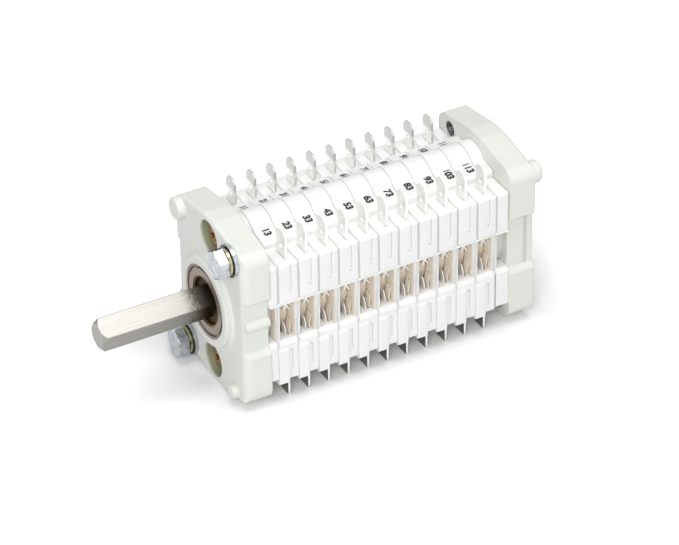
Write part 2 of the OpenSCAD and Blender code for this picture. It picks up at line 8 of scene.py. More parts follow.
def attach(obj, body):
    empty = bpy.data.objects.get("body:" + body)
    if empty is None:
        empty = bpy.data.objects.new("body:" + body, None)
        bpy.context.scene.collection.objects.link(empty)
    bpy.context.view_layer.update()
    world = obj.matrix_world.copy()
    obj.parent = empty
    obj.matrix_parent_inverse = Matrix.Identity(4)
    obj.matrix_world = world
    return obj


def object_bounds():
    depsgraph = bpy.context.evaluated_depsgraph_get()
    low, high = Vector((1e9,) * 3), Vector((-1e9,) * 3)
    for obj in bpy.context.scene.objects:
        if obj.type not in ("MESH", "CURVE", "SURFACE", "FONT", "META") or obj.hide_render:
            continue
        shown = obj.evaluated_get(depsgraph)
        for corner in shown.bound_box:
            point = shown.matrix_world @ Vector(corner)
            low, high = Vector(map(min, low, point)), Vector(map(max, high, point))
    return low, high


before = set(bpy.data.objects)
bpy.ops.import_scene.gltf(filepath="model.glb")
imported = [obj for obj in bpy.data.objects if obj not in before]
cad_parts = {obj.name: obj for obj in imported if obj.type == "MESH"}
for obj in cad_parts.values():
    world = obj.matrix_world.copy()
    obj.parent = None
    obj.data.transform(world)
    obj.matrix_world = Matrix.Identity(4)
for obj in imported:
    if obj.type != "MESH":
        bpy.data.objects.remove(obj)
cad_low, cad_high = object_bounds()

# --- Studio -------------------------------------------------------------------------------
# The switch stands on a white table and is seen from its front right, from well above, through
# a long lens. Soft lamps light it from above, from beside the camera, from its right and from
# its front, and the table goes over to plain white round it, as in a catalogue photograph.

# The camera is fitted to blade tips and plate edges. Its focal length is in pixels of a picture
# 679 wide, and its place in metres.
sensor_mm = 36
focal_px, picture_px = 3770.87, 679
camera_place = (-0.47322, -0.97324, 0.76793)
across_view = Vector((0.87583, -0.48245, -0.01287))
up_view = Vector((0.28604, 0.49744, 0.81898))
to_camera = Vector((-0.38872, -0.72097, 0.57367))
camera = bpy.data.objects.new("camera", bpy.data.cameras.new("camera"))
camera.data.sensor_width = sensor_mm
camera.data.lens = sensor_mm * focal_px / picture_px
camera.data.clip_end = 20
turn = Matrix((across_view, up_view, to_camera)).transposed().to_4x4()
camera.matrix_world = Matrix.Translation(camera_place) @ turn
bpy.context.scene.collection.objects.link(camera)
bpy.context.scene.camera = camera
bpy.context.scene.view_settings.view_transform = "Standard"

# Each lamp has a place and a width in metres, and a power in watts. All aim at the switch.
middle = (cad_low + cad_high) / 2
for name, place, width, power in (
    ("lamp_over", (0.05, -0.12, 0.85), 0.6, 4.2),
    ("lamp_near", (-0.45, -0.78, 0.62), 0.5, 5.6),
    ("lamp_right", (0.42, -0.7, 0.4), 0.6, 0.55),
    ("lamp_front", (-0.75, -0.25, 0.35), 0.5, 1.1),
):
    lamp = bpy.data.objects.new(name, bpy.data.lights.new(name, "AREA"))
    lamp.data.size = width
    lamp.data.energy = power
    lamp.location = place
    lamp.rotation_euler = (middle - Vector(place)).to_track_quat("-Z", "Y").to_euler()
    bpy.context.scene.collection.objects.link(lamp)


def linear(code):
    """An sRGB hex colour as the linear RGBA that a shader takes."""
    parts = [int(code[i : i + 2], 16) / 255 for i in (1, 3, 5)]
    return (*[c / 12.92 if c <= 0.04045 else ((c + 0.055) / 1.055) ** 2.4 for c in parts], 1.0)


def put(tree, kind, links, **settings):
    """Adds one node: its settings first, then its sockets, each a value or another's output."""
    new = tree.nodes.new(kind)
    for key, value in settings.items():
        setattr(new, key, value)
    for socket, source in links.items():
        if isinstance(source, bpy.types.NodeSocket):
            tree.links.new(source, new.inputs[socket])
        else:
            new.inputs[socket].default_value = source
    return new


def looked_at(tree, *kinds):
    """One where a ray comes from the camera or is of another of these kinds, else zero."""
    ray = put(tree, "ShaderNodeLightPath", {})
    seen = ray.outputs["Is Camera Ray"]
    for kind in kinds:
        either = put(tree, "ShaderNodeMath", {0: seen, 1: ray.outputs[kind]}, operation="MAXIMUM")
        seen = either.outputs[0]
    return seen


# The world gives a dim even fill. The camera, gloss and glass see it as plain white.
world = bpy.data.worlds.new("studio")
world.use_nodes = True
sky = world.node_tree
sky.nodes.clear()
seen = looked_at(sky, "Is Glossy Ray", "Is Transmission Ray")
fill = put(sky, "ShaderNodeBackground", {"Color": linear("#F2F5FA"), "Strength": 0.3})
white = put(sky, "ShaderNodeBackground", {"Color": linear("#FFFFFF"), "Strength": 1.0})
chosen = put(sky, "ShaderNodeMixShader", {"Fac": seen, 1: fill.outputs[0], 2: white.outputs[0]})
put(sky, "ShaderNodeOutputWorld", {"Surface": chosen.outputs[0]})
bpy.context.scene.world = world

# Matt white paper: it throws a little less light on the switch than it shows to the camera. From
# 6 to 40 mm outside the switch's footprint a faint glow makes it plain white, so that the shadow
# stays at the foot of the switch.
paper = bpy.data.materials.new("white_table_paper")
paper.use_nodes = True
sheet = paper.node_tree
sheet.nodes.clear()
stack_middle, half_width, any_height = 58.8, 25.4, 1000
glow_from, glow_full, glow_strength = 6, 40, 0.24
foot_middle = (stack_middle / 1000, 0.0, 0.0)
foot_reach = (stack_middle / 1000, half_width / 1000, any_height / 1000)
spot = put(sheet, "ShaderNodeTexCoord", {})
from_centre = put(
    sheet,
    "ShaderNodeVectorMath",
    {0: spot.outputs["Object"], 1: foot_middle},
    operation="SUBTRACT",
)
spread = put(sheet, "ShaderNodeVectorMath", {0: from_centre.outputs[0]}, operation="ABSOLUTE")
past_edge = put(
    sheet,
    "ShaderNodeVectorMath",
    {0: spread.outputs[0], 1: foot_reach},
    operation="SUBTRACT",
)
outside = put(
    sheet,
    "ShaderNodeVectorMath",
    {0: past_edge.outputs[0], 1: (0.0, 0.0, 0.0)},
    operation="MAXIMUM",
)
outwards = put(sheet, "ShaderNodeVectorMath", {0: outside.outputs[0]}, operation="LENGTH")
lift = put(
    sheet,
    "ShaderNodeMapRange",
    {
        "Value": outwards.outputs["Value"],
        "From Min": glow_from / 1000,
        "From Max": glow_full / 1000,
        "To Max": glow_strength,
    },
)
matt = put(sheet, "ShaderNodeBsdfDiffuse", {"Color": linear("#E7E7E7")})
bright = put(sheet, "ShaderNodeBsdfDiffuse", {"Color": linear("#FCFCFC")})
glow = put(
    sheet,
    "ShaderNodeEmission",
    {"Color": linear("#FFFFFF"), "Strength": lift.outputs[0]},
)
lifted = put(sheet, "ShaderNodeAddShader", {0: bright.outputs[0], 1: glow.outputs[0]})
seen = looked_at(sheet, "Is Glossy Ray")
shown = put(sheet, "ShaderNodeMixShader", {"Fac": seen, 1: matt.outputs[0], 2: lifted.outputs[0]})
put(sheet, "ShaderNodeOutputMaterial", {"Surface": shown.outputs[0]})

# The table, 3 m to each side, lies just under the lowest blades, clear of them by 0.05 mm.
floor_reach = 3.0
under_feet = 0.05
floor_z = cad_low.z - under_feet / 1000
corners = ((-1, -1), (1, -1), (1, 1), (-1, 1))
floor_mesh = bpy.data.meshes.new("table")
floor_mesh.from_pydata(
    [(floor_reach * x, floor_reach * y, floor_z) for x, y in corners], [], [(0, 1, 2, 3)]
)
floor_mesh.materials.append(paper)
floor = bpy.data.objects.new("table", floor_mesh)
bpy.context.scene.collection.objects.link(floor)

# --- End plates ---------------------------------------------------------------------------
# Two equal mouldings close the stack. They are a light warm grey glass-filled polyester, from
# a spark-eroded mould, so they have a fine even grain and soft edges.


def moulded(name, pale, deep, *, rough, grain_mm, depth_mm, edge_mm, milky=0.0):
    """Moulded plastic: a slow drift of shade, a fine mould grain, soft edges, a milky depth."""
    material = bpy.data.materials.new(name)
    material.use_nodes = True
    tree = material.node_tree
    tree.nodes.clear()
    place = put(tree, "ShaderNodeTexCoord", {})
    drift_mm, milky_mm = 18, 0.8
    drift = put(
        tree,
        "ShaderNodeTexNoise",
        {"Vector": place.outputs["Object"], "Scale": 1000 / drift_mm, "Detail": 3.0},
    )
    shade = put(
        tree,
        "ShaderNodeMix",
        {"Factor": drift.outputs[0], 6: linear(deep), 7: linear(pale)},
        data_type="RGBA",
    )
    grain = put(
        tree,
        "ShaderNodeTexNoise",
        {
            "Vector": place.outputs["Object"],
            "Scale": 1000 / grain_mm,
            "Detail": 2.0,
            "Roughness": 0.6,
        },
    )
    soft_edge = put(tree, "ShaderNodeBevel", {"Radius": edge_mm / 1000}, samples=4)
    relief = put(
        tree,
        "ShaderNodeBump",
        {
            "Strength": 0.6,
            "Distance": depth_mm / 1000,
            "Height": grain.outputs[0],
            "Normal": soft_edge.outputs[0],
        },
    )
    body = put(
        tree,
        "ShaderNodeBsdfPrincipled",
        {
            "Base Color": shade.outputs[2],
            "Roughness": rough,
            "IOR": 1.5,
            "Subsurface Weight": milky,
            "Subsurface Radius": (1.0, 1.0, 1.0),
            "Subsurface Scale": milky_mm / 1000,
            "Normal": relief.outputs[0],
        },
    )
    put(tree, "ShaderNodeOutputMaterial", {"Surface": body.outputs[0]})
    return material


def dress(material, *names):
    """Gives CAD nodes a finish on the slots that they already have."""
    for name in names:
        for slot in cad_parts[name].material_slots:
            slot.material = material


def tint(material, colour, mask):
    """Mixes a second colour into a finish where the mask, a number socket, is one."""
    tree = material.node_tree
    shader = tree.nodes["Principled BSDF"]
    plain_shade = shader.inputs["Base Color"].links[0].from_socket
    mixed = put(
        tree,
        "ShaderNodeMix",
        {"Factor": mask, 6: plain_shade, 7: linear(colour)},
        data_type="RGBA",
    )
    tree.links.new(mixed.outputs[2], shader.inputs["Base Color"])


# Glass-filled polyester from a spark-eroded mould is a dull, chalky warm grey. The real grain is
# about 0.1 mm wide, too fine to show, so it is drawn 0.7 mm wide.
polyester = moulded(
    "glass_filled_polyester_eroded_grain",
    "#E2E4DD",
    "#DBDDD5",
    rough=0.5,
    grain_mm=0.7,
    depth_mm=0.05,
    edge_mm=0.5,
)

# The two recesses for the tie screws' heads, from 1.3 to 6.1 mm below each plate's face, are
# painted a dull olive: painted shade, for the shade that falls into them. The painted shade
# fades in between two depths and out between two, and ends at the recess's wall.
tie_z, recess_r, wall = 26.3, 6.62, 0.18
fade_in, fade_out = (0.1, 1.3), (6.1, 6.3)
tree = polyester.node_tree
place = put(tree, "ShaderNodeTexCoord", {})
axes = put(tree, "ShaderNodeSeparateXYZ", {"Vector": place.outputs["Object"]})
height = put(tree, "ShaderNodeMath", {0: axes.outputs["Z"]}, operation="ABSOLUTE")
from_screw = put(
    tree,
    "ShaderNodeMath",
    {0: height.outputs[0], 1: tie_z / 1000},
    operation="SUBTRACT",
)
across = put(
    tree,
    "ShaderNodeCombineXYZ",
    {"X": axes.outputs["Y"], "Y": from_screw.outputs[0]},
)
radius = put(tree, "ShaderNodeVectorMath", {0: across.outputs[0]}, operation="LENGTH")
from_middle = put(
    tree,
    "ShaderNodeMath",
    {0: axes.outputs["X"], 1: stack_middle / 1000},
    operation="SUBTRACT",
)
to_end = put(tree, "ShaderNodeMath", {0: from_middle.outputs[0]}, operation="ABSOLUTE")
in_recess = put(
    tree,
    "ShaderNodeMapRange",
    {
        "Value": radius.outputs["Value"],
        "From Min": recess_r / 1000,
        "From Max": (recess_r + wall) / 1000,
        "To Min": 1.0,
        "To Max": 0.0,
    },
)
near_end = put(
    tree,
    "ShaderNodeMapRange",
    {
        "Value": to_end.outputs[0],
        "From Min": (stack_middle - fade_out[1]) / 1000,
        "From Max": (stack_middle - fade_out[0]) / 1000,
    },
)
sunk = put(
    tree,
    "ShaderNodeMapRange",
    {
        "Value": to_end.outputs[0],
        "From Min": (stack_middle - fade_in[0]) / 1000,
        "From Max": (stack_middle - fade_in[1]) / 1000,
    },
)
painted_recess_shade = in_recess
for mask in (near_end, sunk):
    painted_recess_shade = put(
        tree,
        "ShaderNodeMath",
        {0: painted_recess_shade.outputs[0], 1: mask.outputs[0]},
        operation="MULTIPLY",
    )
# Painted shade: a dull olive inside the recesses.
tint(polyester, "#9C9E80", painted_recess_shade.outputs[0])
dress(polyester, "front_plate", "rear_plate")

# --- Bearings -----------------------------------------------------------------------------
# A sintered bronze ring sits in each plate. Its face is dull grey brown and slightly porous,
# with a turned outer rim that shows lighter.


def metal(name, pale, deep, *, rough, grain_mm, depth_mm, edge_mm, stretch=1):
    """Bare or plated metal: shade and relief follow a grain that may be drawn out along X."""
    material = bpy.data.materials.new(name)
    material.use_nodes = True
    tree = material.node_tree
    tree.nodes.clear()
    place = put(tree, "ShaderNodeTexCoord", {})
    drawn = put(
        tree,
        "ShaderNodeMapping",
        {"Vector": place.outputs["Object"], "Scale": (1 / stretch, 1, 1)},
    )
    grain = put(
        tree,
        "ShaderNodeTexNoise",
        {"Vector": drawn.outputs[0], "Scale": 1000 / grain_mm, "Detail": 3.0},
    )
    shade = put(
        tree,
        "ShaderNodeMix",
        {"Factor": grain.outputs[0], 6: linear(deep), 7: linear(pale)},
        data_type="RGBA",
    )
    soft_edge = put(tree, "ShaderNodeBevel", {"Radius": edge_mm / 1000}, samples=4)
    relief = put(
        tree,
        "ShaderNodeBump",
        {
            "Strength": 0.5,
            "Distance": depth_mm / 1000,
            "Height": grain.outputs[0],
            "Normal": soft_edge.outputs[0],
        },
    )
    body = put(
        tree,
        "ShaderNodeBsdfPrincipled",
        {
            "Base Color": shade.outputs[2],
            "Metallic": 1.0,
            "Roughness": rough,
            "Normal": relief.outputs[0],
        },
    )
    put(tree, "ShaderNodeOutputMaterial", {"Surface": body.outputs[0]})
    return material


# Sintered bronze, pressed from powder, is a dull grey brown without a mirror. Its pores, really
# about 0.1 mm, are drawn 0.4 mm wide.
bronze = metal(
    "sintered_bronze_dull",
    "#A0938A",
    "#867A71",
    rough=0.5,
    grain_mm=0.4,
    depth_mm=0.03,
    edge_mm=0.15,
)

# The bronze is painted a darker brown at the bore: painted shade for the inside of the bore.
bore_r, bore_shade_r = 9.1, 9.8
tree = bronze.node_tree
place = put(tree, "ShaderNodeTexCoord", {})
axes = put(tree, "ShaderNodeSeparateXYZ", {"Vector": place.outputs["Object"]})
flat = put(tree, "ShaderNodeCombineXYZ", {"Y": axes.outputs["Y"], "Z": axes.outputs["Z"]})
from_axis = put(tree, "ShaderNodeVectorMath", {0: flat.outputs[0]}, operation="LENGTH")
painted_bore_shade = put(
    tree,
    "ShaderNodeMapRange",
    {
        "Value": from_axis.outputs["Value"],
        "From Min": bore_r / 1000,
        "From Max": bore_shade_r / 1000,
        "To Min": 1.0,
        "To Max": 0.0,
    },
)
tint(bronze, "#6E5730", painted_bore_shade.outputs[0])
dress(bronze, "front_bearing", "rear_bearing")

# --- Decks and covers ---------------------------------------------------------------------
# Eleven deck housings and two covers of white polyamide, moulded in polished steel, with a
# slight sheen. The tie screws clamp them between the plates.

deck_count = 11
decks = range(1, deck_count + 1)

# White polyamide from a polished mould is bright, smooth and a little milky. Its waviness, which
# really is fainter and finer, is drawn 1.2 mm wide.
white_polyamide = moulded(
    "white_polyamide_smooth",
    "#F0F0EE",
    "#EBEBE9",
    rough=0.38,
    grain_mm=1.2,
    depth_mm=0.015,
    edge_mm=0.35,
    milky=0.8,
)
dress(white_polyamide, "front_cover", "rear_cover", *[f"deck_{k}" for k in decks])

# --- Sill tongues -------------------------------------------------------------------------
# Under the windows each housing and the front cover end in a thin tongue, moulded in one with
# them, which closes the joint to the next deck.

first_deck, deck_pitch = 14, 8


def nodes_tree(name, inputs):
    """A Geometry Nodes tree with these named inputs, each of the kind given, and one output."""
    tree = bpy.data.node_groups.new(name, "GeometryNodeTree")
    for socket, kind in inputs.items():
        tree.interface.new_socket(socket, in_out="INPUT", socket_type="NodeSocket" + kind)
    tree.interface.new_socket("Geometry", in_out="OUTPUT", socket_type="NodeSocketGeometry")
    return tree


# This tree copies a mesh along the stack, as often as Count says.
row = nodes_tree(
    "row_along_stack",
    {"Geometry": "Geometry", "Count": "Int", "Pitch": "Float", "Finish": "Material"},
)
asked = put(row, "NodeGroupInput", {})
stride = put(row, "ShaderNodeCombineXYZ", {"X": asked.outputs["Pitch"]})
line = put(
    row,
    "GeometryNodeMeshLine",
    {"Count": asked.outputs["Count"], "Offset": stride.outputs[0]},
)
copies = put(
    row,
    "GeometryNodeInstanceOnPoints",
    {"Points": line.outputs[0], "Instance": asked.outputs["Geometry"]},
)
one_mesh = put(row, "GeometryNodeRealizeInstances", {"Geometry": copies.outputs[0]})
finished = put(
    row,
    "GeometryNodeSetMaterial",
    {"Geometry": one_mesh.outputs[0], "Material": asked.outputs["Finish"]},
)
put(row, "NodeGroupOutput", {"Geometry": finished.outputs[0]})


def grow(piece, tree, values):
    """Runs a Geometry Nodes tree on a piece, with values by input name, and keeps the mesh."""
    maker = piece.modifiers.new(tree.name, "NODES")
    maker.node_group = tree
    for item in tree.interface.items_tree:
        if item.in_out == "INPUT" and item.name in values:
            maker[item.identifier] = values[item.name]
    grown = piece.evaluated_get(bpy.context.evaluated_depsgraph_get())
    whole = bpy.data.meshes.new_from_object(grown)
    piece.modifiers.remove(maker)
    piece.data = whole


def repeat_along_stack(name, points, faces, count, finish):
    """One mesh, given in metres, copied at the deck pitch into a single fixed piece."""
    mesh = bpy.data.meshes.new(name)
    mesh.from_pydata(points, [], faces)
    plates = bpy.data.objects.new(name, mesh)
    bpy.context.scene.collection.objects.link(plates)
    grow(plates, row, {"Count": count, "Pitch": deck_pitch / 1000, "Finish": finish})
    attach(plates, "housing")


def slab(first, n):
    """Faces of a flat slab between two like outlines of n points, from point first onwards."""
    near = [first + i for i in range(n)]
    far = [first + n + i for i in range(n)]
    around = [[near[i], near[(i + 1) % n], far[(i + 1) % n], far[i]] for i in range(n)]
    return [near[::-1], far, *around]


def row_of_plates(name, outline, span, count, finish):
    """A flat plate with this Y-Z outline, over a span of X, and its mirror, in mm, repeated."""
    points, faces = [], []
    for side in (1, -1):
        ring = [(side * y, z) for y, z in outline[::side]]
        faces += slab(len(points), len(ring))
        points += [(x / 1000, y / 1000, z / 1000) for x in span for y, z in ring]
    repeat_along_stack(name, points, faces, count, finish)


tongue = [(13.7, -9.85), (24.85, -9.85), (23.65, -8.38), (23.65, -0.05), (13.7, -0.05)]
tongue_x = (13.42, 13.95)
row_of_plates("sill_tongues", tongue, tongue_x, deck_count + 1, white_polyamide)

# --- Window lips --------------------------------------------------------------------------
# The upper blocks end in a thin moulded lip over the windows. The lips of all decks and covers
# meet in one straight line along the stack.

lip = [(23.3, 7.32), (25.12, 7.32), (25.12, 7.6), (24.85, 7.82), (23.3, 7.82)]
lip_x = (10.45, 107.15)
row_of_plates("window_lips", lip, lip_x, 1, white_polyamide)

# --- Leaf ribs ----------------------------------------------------------------------------
# A small rib, moulded on each sill, stands between the two leaves of each lower contact and
# keeps them apart where they leave the sill.

rib = [(18.85, -9.8), (21.8, -9.8), (21.8, -8.5), (18.85, -8.5)]
fork_x, half_rib = first_deck + 4.8, 0.28
rib_x = (fork_x - half_rib, fork_x + half_rib)
row_of_plates("leaf_ribs", rib, rib_x, deck_count, white_polyamide)

# --- Window liners ------------------------------------------------------------------------
# A thin sheet of beige insulating board lies on the wall of each deck, cut out round the rotor.
# It is what one sees through the side windows, behind the contact leaves.

# Pressed insulating board is matt and warm beige, like card. Its fibres, really about 0.2 mm
# wide, are drawn 0.9 mm wide.
board = moulded(
    "beige_insulating_board",
    "#FBEFDC",
    "#F0E2CC",
    rough=0.55,
    grain_mm=0.9,
    depth_mm=0.02,
    edge_mm=0.1,
    milky=0.3,
)
cut_r, cut_degrees = 11.6, range(-46, 41, 6)
cut_out = [math.radians(a) for a in cut_degrees]
liner = [(23.6, -8.35), (23.6, 7.35)]
liner += [(cut_r * math.cos(a), cut_r * math.sin(a)) for a in reversed(cut_out)]
liner_x, cover_liner_x = (20.6, 20.78), (13.0, 13.18)
row_of_plates("window_liners", liner, liner_x, deck_count, board)
cover_liner = [(20.3, -8.35), (23.6, -8.35), (23.6, 7.35), (20.3, 7.35)]
row_of_plates("cover_liner", cover_liner, cover_liner_x, 1, board)

# --- Contacts -----------------------------------------------------------------------------
# The fixed contacts are stamped from silvered copper alloy sheet: a blade outside, a fork of
# two leaves inside. The moving contacts are plain copper alloy, set in the drums.

# Rolled and silvered sheet is pale and satin, nearly white where light falls on it. Its rolling
# grain, really about 0.05 mm wide, is drawn 0.5 mm wide.
silver = metal(
    "silvered_sheet_satin",
    "#FAFAF7",
    "#ECECE8",
    rough=0.36,
    grain_mm=0.5,
    depth_mm=0.006,
    edge_mm=0.12,
)
tree = silver.node_tree
place = put(tree, "ShaderNodeTexCoord", {})
axes = put(tree, "ShaderNodeSeparateXYZ", {"Vector": place.outputs["Object"]})
facing = put(tree, "ShaderNodeNewGeometry", {})
sides = put(tree, "ShaderNodeSeparateXYZ", {"Vector": facing.outputs["True Normal"]})

# The broad faces of the lower blades are painted dark grey, from just under the blocks down:
# a painted reflection of the shade under the switch.
pale_z, dark_z, darkest = -22, -27, 0.9
flat = put(tree, "ShaderNodeMath", {0: sides.outputs["X"]}, operation="ABSOLUTE")
low = put(
    tree,
    "ShaderNodeMapRange",
    {
        "Value": axes.outputs["Z"],
        "From Min": pale_z / 1000,
        "From Max": dark_z / 1000,
        "To Max": darkest,
    },
)
painted_low_reflection = put(
    tree,
    "ShaderNodeMath",
    {0: flat.outputs[0], 1: low.outputs[0]},
    operation="MULTIPLY",
)
tint(silver, "#626255", painted_low_reflection.outputs[0])

# The tips of the left row are painted a little darker: painted shade, for the dimmer light and
# reflection on the far row.
tip_shade_from_z, tip_shade_full_z = 29.2, 30.4
tip = put(
    tree,
    "ShaderNodeMapRange",
    {
        "Value": axes.outputs["Z"],
        "From Min": tip_shade_from_z / 1000,
        "From Max": tip_shade_full_z / 1000,
    },
)
left_row = put(
    tree,
    "ShaderNodeMath",
    {0: axes.outputs["Y"], 1: 0.0},
    operation="GREATER_THAN",
)
painted_dim_tips = put(
    tree,
    "ShaderNodeMath",
    {0: tip.outputs[0], 1: left_row.outputs[0]},
    operation="MULTIPLY",
)
tint(silver, "#C7C7C4", painted_dim_tips.outputs[0])

# The fork leaves, less than 13 mm above or below the shaft's axis, are tinted warm and drawn
# less metallic, more matt, than the blades. The warm tint is a painted reflection of the beige
# board behind them.
leaf_to, blade_from, leaf_metallic = 12.5, 13.5, 0.1
depth = put(tree, "ShaderNodeMath", {0: axes.outputs["Z"]}, operation="ABSOLUTE")
on_leaf = put(
    tree,
    "ShaderNodeMapRange",
    {
        "Value": depth.outputs[0],
        "From Min": leaf_to / 1000,
        "From Max": blade_from / 1000,
        "To Min": 1.0,
        "To Max": 0.0,
    },
)
# Painted reflection: the beige board's warm colour on the leaves.
tint(silver, "#F0E8DC", on_leaf.outputs[0])
plated = put(
    tree,
    "ShaderNodeMapRange",
    {"Value": on_leaf.outputs[0], "To Min": 1.0, "To Max": leaf_metallic},
)
tree.links.new(plated.outputs[0], tree.nodes["Principled BSDF"].inputs["Metallic"])

# The sheared edge of the front leaf of each lower fork, a face that looks along Y, is painted
# pure white: a painted highlight.
partly_y, mostly_y = 0.6, 0.8
edgeways = put(tree, "ShaderNodeMath", {0: sides.outputs["Y"]}, operation="ABSOLUTE")
cut_edge = put(
    tree,
    "ShaderNodeMapRange",
    {"Value": edgeways.outputs[0], "From Min": partly_y, "From Max": mostly_y},
)
from_deck = put(
    tree,
    "ShaderNodeMath",
    {0: axes.outputs["X"], 1: first_deck / 1000},
    operation="SUBTRACT",
)
in_deck = put(
    tree,
    "ShaderNodeMath",
    {0: from_deck.outputs[0], 1: deck_pitch / 1000},
    operation="MODULO",
)
front_leaf = put(
    tree,
    "ShaderNodeMath",
    {0: in_deck.outputs[0], 1: (fork_x - first_deck) / 1000},
    operation="LESS_THAN",
)
lower = put(tree, "ShaderNodeMath", {0: axes.outputs["Z"], 1: 0.0}, operation="LESS_THAN")
painted_edge_highlight = front_leaf
for mask in (lower, cut_edge, on_leaf):
    painted_edge_highlight = put(
        tree,
        "ShaderNodeMath",
        {0: painted_edge_highlight.outputs[0], 1: mask.outputs[0]},
        operation="MULTIPLY",
    )
tint(silver, "#FFFFFF", painted_edge_highlight.outputs[0])
dress(silver, *[f"contacts_{k}" for k in decks])

# Plain copper alloy strip is a pale reddish gold. It lies in the shade of the drums, where a full
# mirror would turn black, so it is drawn half metallic, with its rolling grain 0.5 mm wide.
copper = metal(
    "copper_alloy_plain",
    "#DDBE98",
    "#C6A37A",
    rough=0.4,
    grain_mm=0.5,
    depth_mm=0.006,
    edge_mm=0.12,
)
copper.node_tree.nodes["Principled BSDF"].inputs["Metallic"].default_value = 0.5
dress(copper, *[f"bridges_{k}" for k in decks])

# --- Fork springs -------------------------------------------------------------------------
# Each upper fork holds a small silvered spring, bent from strip like a gable and clamped
# between the two leaves. It shows as a bright V under the lip.

gable = [(-0.98, 4.7), (0.98, 4.7), (1.06, 4.35), (0.3, 3.8), (1.42, 1.75), (1.0, 1.6), (0.0, 3.2)]
gable += [(-x, z) for x, z in reversed(gable[2:6])]
spring_y = (20.55, 20.95)

# The silvered cut edge of the strip is nearly white, and hardly mirrors anything at this size.
spring_white = metal(
    "silvered_spring_edge",
    "#FFFFFF",
    "#FAFAF6",
    rough=0.4,
    grain_mm=0.5,
    depth_mm=0.006,
    edge_mm=0.05,
)
spring_white.node_tree.nodes["Principled BSDF"].inputs["Metallic"].default_value = 0.1
points, faces = [], []
for side in (1, -1):
    faces += [face[::side] for face in slab(len(points), len(gable))]
    for y in spring_y:
        points += [((fork_x + x) / 1000, side * y / 1000, z / 1000) for x, z in gable]
repeat_along_stack("fork_springs", points, faces, deck_count, spring_white)

# --- Rotor --------------------------------------------------------------------------------
# Beige brown insulating drums are threaded on a square shaft of drawn steel, nickel plated.
# Black hubs hold the shaft in the bearings.

# Phenolic moulding is matt and beige, a little darker where its wood flour shows. The specks,
# really about 0.2 mm, are drawn 0.8 mm wide.
phenolic = moulded(
    "phenolic_beige_moulding",
    "#F0E5D4",
    "#E2D6C3",
    rough=0.5,
    grain_mm=0.8,
    depth_mm=0.02,
    edge_mm=0.3,
)
dress(phenolic, *[f"drum_{k}" for k in decks])

# Black polyamide, wet with old oil from the bronze, is brown black in blotches about 2 mm wide.
# The oil fills its grain, so it hardly catches the light.
oiled_hub = moulded(
    "black_polyamide_oiled",
    "#4E3E1A",
    "#181008",
    rough=0.45,
    grain_mm=2.2,
    depth_mm=0.02,
    edge_mm=0.3,
)
oiled_hub.node_tree.nodes["Principled BSDF"].inputs["Specular IOR Level"].default_value = 0.08
dress(oiled_hub, "front_hub", "rear_hub")

# Nickel on drawn steel is a warm grey, with fine streaks from the die along the shaft. They are
# really about 0.1 mm wide, and drawn 0.35 mm wide.
shaft_steel = metal(
    "nickel_plated_drawn_steel",
    "#A6A4A0",
    "#87847D",
    rough=0.34,
    grain_mm=0.35,
    stretch=60,
    depth_mm=0.01,
    edge_mm=0.3,
)

# Oil has crept out of the hub and stains the last 14 mm of the shaft in specks about 1 mm wide.
clean_x, oily_x, speck_mm = -17, -3, 0.9
stain_from, stain_full, stain_strength = 0.95, 1.25, 0.85
tree = shaft_steel.node_tree
place = put(tree, "ShaderNodeTexCoord", {})
axes = put(tree, "ShaderNodeSeparateXYZ", {"Vector": place.outputs["Object"]})
near_root = put(
    tree,
    "ShaderNodeMapRange",
    {"Value": axes.outputs["X"], "From Min": clean_x / 1000, "From Max": oily_x / 1000},
)
specks = put(
    tree,
    "ShaderNodeTexNoise",
    {
        "Vector": place.outputs["Object"],
        "Scale": 1000 / speck_mm,
        "Detail": 4.0,
        "Roughness": 0.75,
    },
)
stain = put(
    tree,
    "ShaderNodeMath",
    {0: specks.outputs[0], 1: near_root.outputs[0]},
    operation="ADD",
)
stained = put(
    tree,
    "ShaderNodeMapRange",
    {
        "Value": stain.outputs[0],
        "From Min": stain_from,
        "From Max": stain_full,
        "To Max": stain_strength,
    },
)
tint(shaft_steel, "#3A3022", stained.outputs[0])
dress(shaft_steel, "drive_shaft")

# --- Fasteners ----------------------------------------------------------------------------
# Two zinc plated hexagon bolts with yellow passivated split washers and bright flat washers
# fix the front plate. Two brass tie screws with nuts hold the stack together.

# Bright zinc on a forged head. Its colour is painted in cloudy patches about 2.4 mm wide, from
# near white to dark grey: a painted reflection of the room.
zinc_bolt = metal(
    "zinc_plate_bright",
    "#E9EEF1",
    "#565D63",
    rough=0.2,
    grain_mm=2.4,
    depth_mm=0.03,
    edge_mm=0.35,
)
dress(zinc_bolt, "hex_bolts")

# The flat washers have the same plate on smooth punched sheet, so they are an even light grey.
# The grain of the plate, really about 0.1 mm wide, is drawn 0.6 mm wide.
flat_zinc = metal(
    "zinc_plate_flat_washer",
    "#C4C9CD",
    "#A3A8AC",
    rough=0.24,
    grain_mm=0.6,
    depth_mm=0.01,
    edge_mm=0.2,
)

# Yellow passivate over zinc gives the split washers a thin greenish yellow, clouded by handling.
# The clouds, really about 0.2 mm wide, are drawn 0.5 mm wide.
passivate = metal(
    "yellow_passivate",
    "#C2C0A2",
    "#8F8C6C",
    rough=0.22,
    grain_mm=0.5,
    depth_mm=0.01,
    edge_mm=0.2,
)

